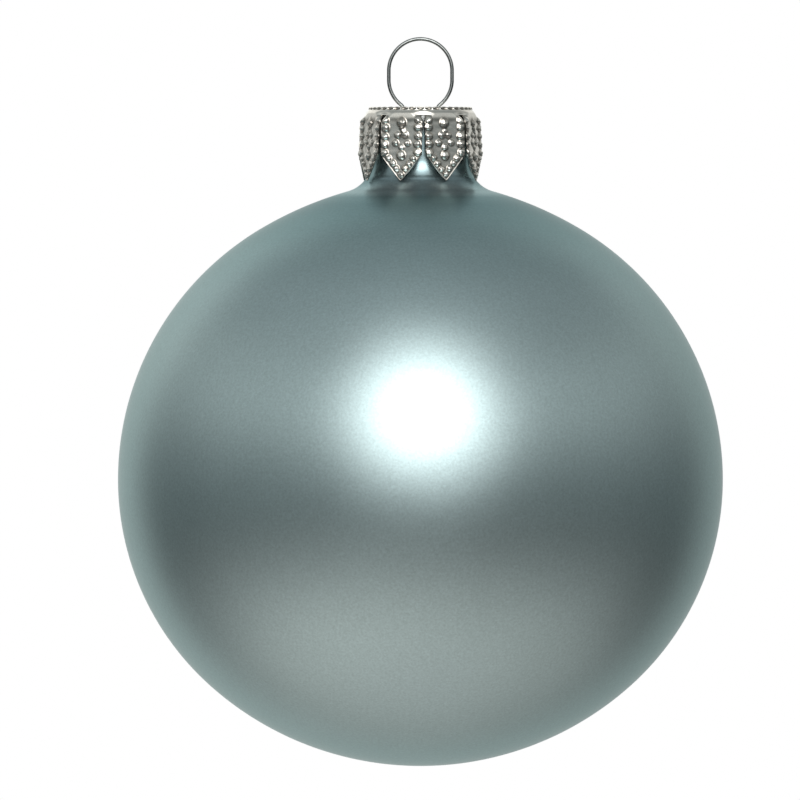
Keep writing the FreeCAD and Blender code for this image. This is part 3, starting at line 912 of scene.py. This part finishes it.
def cap_material():
    """Bright tinplate, darkened by painted shade round its beads, along its edges, under the bevel and in
    the rim's dimples.
    """
    material, tree, shader = new_material("bright_tinplate")
    crevice = tree.nodes.new("ShaderNodeAttribute")
    crevice.attribute_name = "crevice"
    patches = noise_node(tree, 700.0, detail=4.0)
    bright = ramp_node(tree, ((0.3, (0.84, 0.79, 0.72)), (0.7, (0.95, 0.91, 0.84))), patches)
    # Darken toward the painted shade colour by each point's painted shade.
    share = math_node(tree, "MULTIPLY", (crevice, "Fac"), 0.75)
    tone = mix_colours(tree, (share, "Value"), (bright, "Color"), PAINTED_SHADE_COLOUR)
    link(tree, tone, 2, shader, "Base Color")
    rough = range_node(tree, patches, "Fac", 0.3, 0.7, 0.20, 0.11)
    link(tree, rough, "Result", shader, "Roughness")
    scratches = noise_node(tree, 3500.0, detail=3.0)
    add_bump(tree, shader, scratches, 0.000006)
    shader.inputs["Metallic"].default_value = 1.0
    return material


def steel_material():
    """Drawn spring steel with faint die lines."""
    material, tree, shader = new_material("drawn_steel")
    lines = noise_node(tree, 1800.0, detail=3.0)
    tone = ramp_node(tree, ((0.3, (0.19, 0.20, 0.195)), (0.7, (0.31, 0.32, 0.31))), lines)
    link(tree, tone, "Color", shader, "Base Color")
    rough = range_node(tree, lines, "Fac", 0.3, 0.7, 0.22, 0.12)
    link(tree, rough, "Result", shader, "Roughness")
    add_bump(tree, shader, lines, 0.000004)
    shader.inputs["Metallic"].default_value = 1.0
    return material


def floor_material():
    """Plain pale matt floor, very slightly clouded."""
    material, tree, shader = new_material("pale_floor")
    cloud = noise_node(tree, 9.0, detail=3.0)
    tone = ramp_node(tree, ((0.3, (0.90, 0.90, 0.89)), (0.7, (0.94, 0.94, 0.93))), cloud)
    link(tree, tone, "Color", shader, "Base Color")
    shader.inputs["Roughness"].default_value = 0.8
    return material


# --- stage --------------------------------------------------------------------------------

# Studio light seen by the object, by height of the direction: 0 is straight down, 1 straight up.
WORLD_BY_HEIGHT = (
    (0.00, (0.78, 0.76, 0.74)),
    (0.03, (0.86, 0.84, 0.81)),
    (0.10, (0.80, 0.78, 0.75)),
    (0.17, (0.57, 0.56, 0.545)),
    (0.25, (0.325, 0.325, 0.32)),
    (0.335, (0.165, 0.175, 0.175)),
    (0.425, (0.115, 0.140, 0.145)),
    (0.50, (0.175, 0.205, 0.210)),
    (0.56, (0.26, 0.29, 0.295)),
    (0.63, (0.47, 0.50, 0.50)),
    (0.70, (0.64, 0.68, 0.68)),
    (0.77, (0.57, 0.61, 0.61)),
    (0.84, (0.41, 0.45, 0.46)),
    (0.93, (0.37, 0.41, 0.42)),
    (1.00, (0.37, 0.41, 0.42)),
)
# Where the floor's light falls off toward the right, by the same heights.
FLOOR_SHADE_BY_HEIGHT = ((0.0, (0.0,) * 3), (0.06, (1.0,) * 3), (0.33, (1.0,) * 3), (0.40, (0.0,) * 3))
KEY_AZIMUTH = 1.3
KEY_ELEVATION = 25.6
KEY_HALO = (0.78, 0.97, 1.5)  # where the halo starts and is full, as cosines, and its strength
KEY_DISTANCE = 1.0
KEY_HALF_ANGLE = 17.0
KEY_RADIANCE = 2.6
HIGH_ELEVATION = 54.0
HIGH_HALO = (0.93, 0.99, 0.25)

# How the room dims toward +X (right) and +Y (back): the X or Y of the direction where it starts
# and where it is full, and the share of the light that is kept or lost there.
DIM_RIGHT = (-0.2, 0.7)
DIM_RIGHT_KEPT = 0.84
DIM_BACK = (-0.2, 0.5)
DIM_BACK_KEPT = 0.82
FLOOR_RIGHT = (-0.6, 0.2)
FLOOR_RIGHT_LOST = 0.15

# The wall behind the object: its colours from left to right, and where it starts and is full.
BACK_WALL = ((0.0, (1.20, 1.22, 1.19)), (1.0, (0.76, 0.78, 0.76)))
BACK_WALL_SIDES = (-0.6, 0.6)
BACK_WALL_DEPTH = (0.50, 0.98)
BACK_WALL_LEAN = (0.0, 0.4)  # it comes nearer over this height
BACK_WALL_NEARER = 0.10

# Floor, camera and the key's target, in metres.
BALL_MIDDLE = Vector((0.0, 0.0, EQUATOR)) * MM
FLOOR_RADIUS = 0.5
FLOOR_LEVEL = -0.16
CAMERA_DISTANCE = 3.0
VIEW_WIDTH = 0.1058
VIEW_MIDDLE = Vector((-0.0027, 0.0, -0.0475))
SENSOR_WIDTH = 36.0  # millimetres


def sphere_point(azimuth, elevation):
    """Unit vector at degrees right of the camera's side and degrees up."""
    across, up = math.radians(azimuth), math.radians(elevation)
    return Vector((math.sin(across) * math.cos(up), -math.cos(across) * math.cos(up), math.sin(up)))


def glow_node(tree, place, elevation, halo):
    """A soft round glow in the world, over the key's azimuth, at an elevation."""
    toward = tree.nodes.new("ShaderNodeVectorMath")
    toward.operation = "DOT_PRODUCT"
    toward.inputs[1].default_value = sphere_point(KEY_AZIMUTH, elevation)
    link(tree, place, "Generated", toward, 0)
    glow = range_node(tree, toward, "Value", halo[0], halo[1], 0.0, halo[2])
    glow.interpolation_type = "SMOOTHSTEP"
    return glow


def make_world():
    """White to the camera. The object sees a soft studio, by height, side and depth."""
    world = bpy.data.worlds.new("studio")
    bpy.context.scene.world = world
    world.use_nodes = True
    tree = world.node_tree
    shader = tree.nodes["Background"]
    place = tree.nodes.new("ShaderNodeTexCoord")
    split = tree.nodes.new("ShaderNodeSeparateXYZ")
    link(tree, place, "Generated", split, "Vector")
    height = range_node(tree, split, "Z", -1.0, 1.0, 0.0, 1.0)
    grade = ramp_node(tree, WORLD_BY_HEIGHT, height, "Result")
    dim_right = range_node(tree, split, "X", *DIM_RIGHT, 1.0, DIM_RIGHT_KEPT)
    dim_back = range_node(tree, split, "Y", *DIM_BACK, 1.0, DIM_BACK_KEPT)
    sides = math_node(tree, "MULTIPLY", (dim_right, "Result"), (dim_back, "Result"))
    floor_part = ramp_node(tree, FLOOR_SHADE_BY_HEIGHT, height, "Result")
    floor_right = range_node(tree, split, "X", *FLOOR_RIGHT, 0.0, FLOOR_RIGHT_LOST)
    shaded = math_node(tree, "MULTIPLY", (floor_part, "Color"), (floor_right, "Result"))
    kept = math_node(tree, "SUBTRACT", 1.0, (shaded, "Value"))
    dim = math_node(tree, "MULTIPLY", (sides, "Value"), (kept, "Value"))
    walls = scale_colour(tree, (grade, "Color"), (dim, "Value"))
    back_side = range_node(tree, split, "X", *BACK_WALL_SIDES, 0.0, 1.0)
    back_wall = ramp_node(tree, BACK_WALL, back_side, "Result")
    nearer_up = range_node(tree, split, "Z", *BACK_WALL_LEAN, 0.0, BACK_WALL_NEARER)
    depth = math_node(tree, "ADD", (split, "Y"), (nearer_up, "Result"))
    back_part = range_node(tree, depth, "Value", *BACK_WALL_DEPTH, 0.0, 1.0)
    back_part.interpolation_type = "SMOOTHSTEP"
    room = mix_colours(tree, (back_part, "Result"), (walls, "Vector"), (back_wall, "Color"))
    key_glow = glow_node(tree, place, KEY_ELEVATION, KEY_HALO)
    high_glow = glow_node(tree, place, HIGH_ELEVATION, HIGH_HALO)
    glow = math_node(tree, "ADD", (key_glow, "Result"), (high_glow, "Result"))
    lit = tree.nodes.new("ShaderNodeVectorMath")
    lit.operation = "ADD"
    link(tree, room, 2, lit, 0)
    link(tree, glow, "Value", lit, 1)
    path = tree.nodes.new("ShaderNodeLightPath")
    seen = mix_colours(tree, (path, "Is Camera Ray"), (lit, "Vector"), (1.0, 1.0, 1.0))
    link(tree, seen, 2, shader, "Color")


def add_softbox(name, azimuth, elevation, distance, half_angle, radiance, target):
    """A round soft light aimed at a target. Its size is the half angle it covers from there."""
    lamp = bpy.data.lights.new(name, "AREA")
    lamp.shape = "DISK"
    radius = distance * math.tan(math.radians(half_angle))
    lamp.size = 2 * radius
    lamp.energy = radiance * math.pi * math.pi * radius**2
    light = bpy.data.objects.new(name, lamp)
    bpy.context.scene.collection.objects.link(light)
    way = sphere_point(azimuth, elevation)
    light.location = target + way * distance
    light.rotation_euler = (-way).to_track_quat("-Z", "Y").to_euler()
    light.visible_camera = False


def make_floor(material):
    """A pale round floor well below the hanging ball."""
    mesh = bpy.data.meshes.new("floor")
    disc = bmesh.new()
    bmesh.ops.create_circle(disc, cap_ends=True, segments=96, radius=FLOOR_RADIUS)
    disc.to_mesh(mesh)
    disc.free()
    mesh.materials.append(material)
    floor = bpy.data.objects.new("floor", mesh)
    floor.location.z = FLOOR_LEVEL
    bpy.context.scene.collection.objects.link(floor)
    floor.visible_glossy = False


def make_camera():
    """A long lens level with the middle of the ball and its loop."""
    lens = bpy.data.cameras.new("camera")
    lens.sensor_width = SENSOR_WIDTH
    lens.lens = SENSOR_WIDTH * CAMERA_DISTANCE / VIEW_WIDTH
    lens.dof.use_dof = False
    camera = bpy.data.objects.new("camera", lens)
    bpy.context.scene.collection.objects.link(camera)
    camera.location = VIEW_MIDDLE + Vector((0, -CAMERA_DISTANCE, 0))
    camera.rotation_euler = (math.radians(90), 0, 0)
    bpy.context.scene.camera = camera


def build():
    """The three pieces, and the stage they hang over."""
    make_glass_ball(lacquer_material(), silvering_material(), raw_glass_material())
    make_crown_cap(cap_material())
    make_hanger_wire(steel_material())
    make_floor(floor_material())
    make_world()
    add_softbox(
        "key_softbox", KEY_AZIMUTH, KEY_ELEVATION, KEY_DISTANCE, KEY_HALF_ANGLE, KEY_RADIANCE, BALL_MIDDLE
    )
    make_camera()
    bpy.context.scene.view_settings.view_transform = "Standard"


build()
